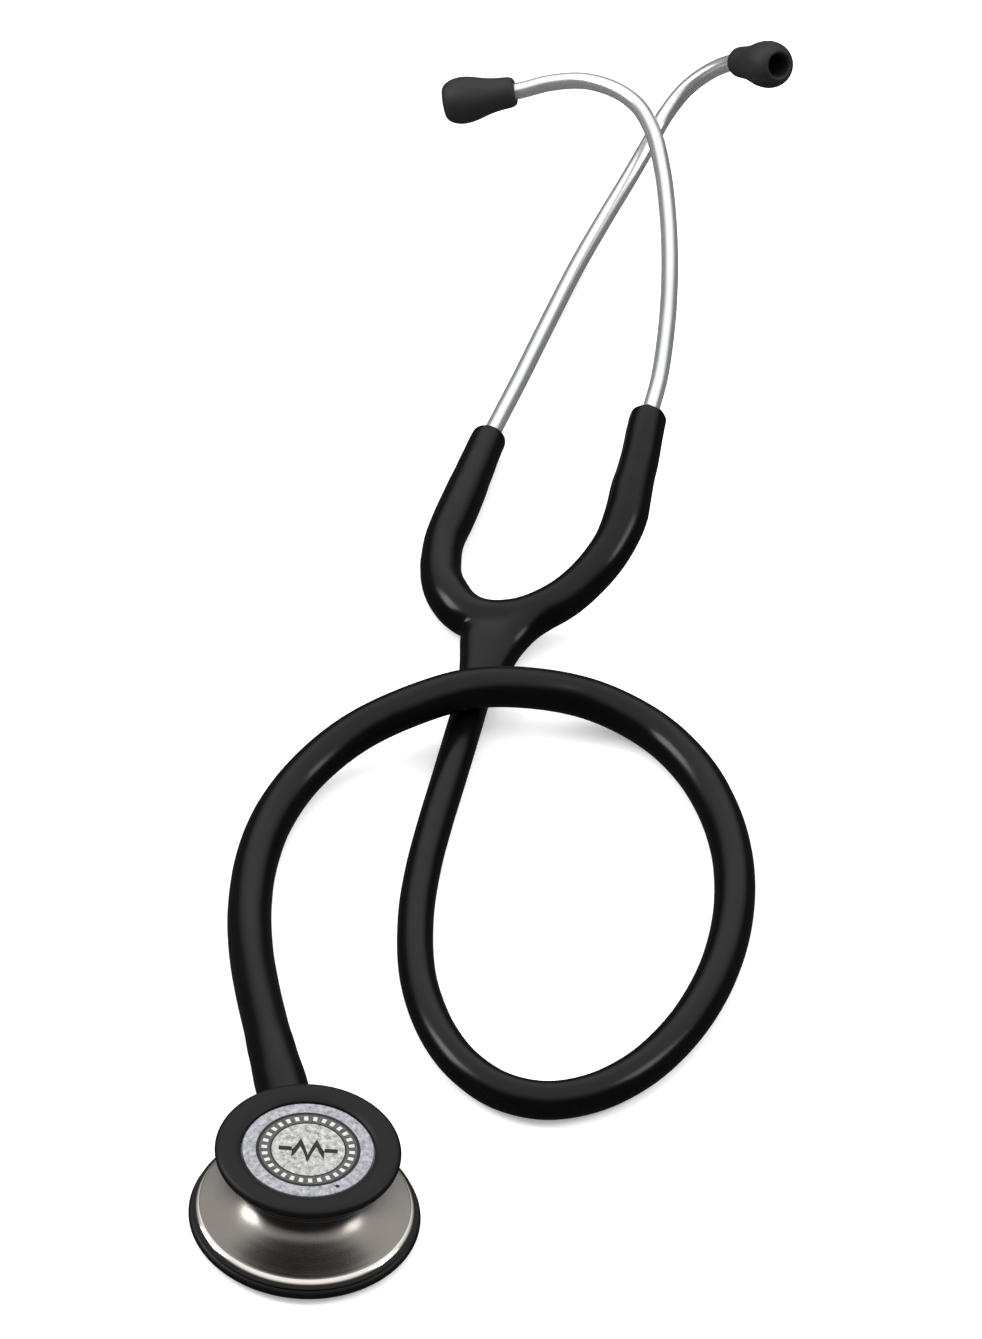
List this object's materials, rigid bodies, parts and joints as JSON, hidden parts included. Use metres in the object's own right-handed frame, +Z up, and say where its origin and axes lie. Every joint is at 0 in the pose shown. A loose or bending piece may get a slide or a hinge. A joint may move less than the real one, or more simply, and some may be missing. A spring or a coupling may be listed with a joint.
{
  "type": "stethoscope",
  "caption": "Dual-sided stethoscope with a turning metal chestpiece, soft rims, a single-lumen tube in a loop, a sprung yoke, bent metal ear tubes and soft ear tips.",
  "frame": {"origin": "Centre of the large diaphragm's outer face, which rests on the surface.", "axes": "+Z up from the surface through the chestpiece's axis; +Y from the chestpiece towards the headset; +X to the right."},
  "size_m": [0.1088, 0.3706, 0.0377],
  "materials": {
    "pvc": "black, satin",
    "rim_rubber": "black, satin",
    "seal_rubber": "black, matte",
    "tip_silicone": "dark grey, matte",
    "stainless": "satin turned stainless steel",
    "chrome_plate": "bright plated",
    "aluminium": "polished",
    "spring_steel": "bright spring steel",
    "silver_face": "silver-grey print under a clear face",
    "dark_face": "dark glossy face"
  },
  "bodies": {
    "yoke_and_tubing": {"tubing": "pvc", "yoke_body": "pvc", "yoke_spring": "spring_steel", "stem": "chrome_plate", "stem_seal_inner": "seal_rubber", "stem_seal_outer": "seal_rubber", "stem_retaining_ring": "spring_steel"},
    "chestpiece": {"chestpiece_body": "stainless", "large_rim": "rim_rubber", "small_rim": "rim_rubber", "detent_ball": "spring_steel", "detent_spring": "spring_steel", "detent_set_screw": "spring_steel"},
    "large_face": {"large_diaphragm": "dark_face"},
    "small_face": {"small_diaphragm": "silver_face"},
    "left_ear": {"yoke_arm_left": "pvc", "ear_tube_left": "aluminium"},
    "right_ear": {"yoke_arm_right": "pvc", "ear_tube_right": "aluminium"},
    "left_tip": {"ear_tip_left": "tip_silicone"},
    "right_tip": {"ear_tip_right": "tip_silicone"}
  },
  "joints": [
    {"name": "chestpiece_turn", "type": "hinge", "parent": "yoke_and_tubing", "child": "chestpiece", "pos_m": [0, 0, 0.0108], "axis": [-0.23, 0.9732, 0], "continuous": true},
    {"name": "large_face_press", "type": "slide", "parent": "chestpiece", "child": "large_face", "axis": [0, 0, 1], "range_m": [0, 0.0003], "stiffness_N_per_m": 3000},
    {"name": "small_face_press", "type": "slide", "parent": "chestpiece", "child": "small_face", "axis": [0, 0, -1], "range_m": [0, 0.0003], "stiffness_N_per_m": 3000},
    {"name": "left_arm", "type": "hinge", "parent": "yoke_and_tubing", "child": "left_ear", "pos_m": [0.0197, 0.1823, 0.0045], "axis": [-0.5341, 0.021, 0.8452], "range_deg": [0, 35], "stiffness_Nm_per_rad": 1.5},
    {"name": "right_arm", "type": "hinge", "parent": "yoke_and_tubing", "child": "right_ear", "pos_m": [0.0414, 0.1782, 0.0088], "axis": [0.5341, -0.021, -0.8452], "range_deg": [0, 35], "stiffness_Nm_per_rad": 1.5},
    {"name": "left_tip_pull", "type": "slide", "parent": "left_ear", "child": "left_tip", "axis": [0.548, -0.6612, 0.5123], "range_m": [0, 0.009]},
    {"name": "right_tip_pull", "type": "slide", "parent": "right_ear", "child": "right_tip", "axis": [-0.9631, -0.0414, -0.2659], "range_m": [0, 0.009]}
  ]
}
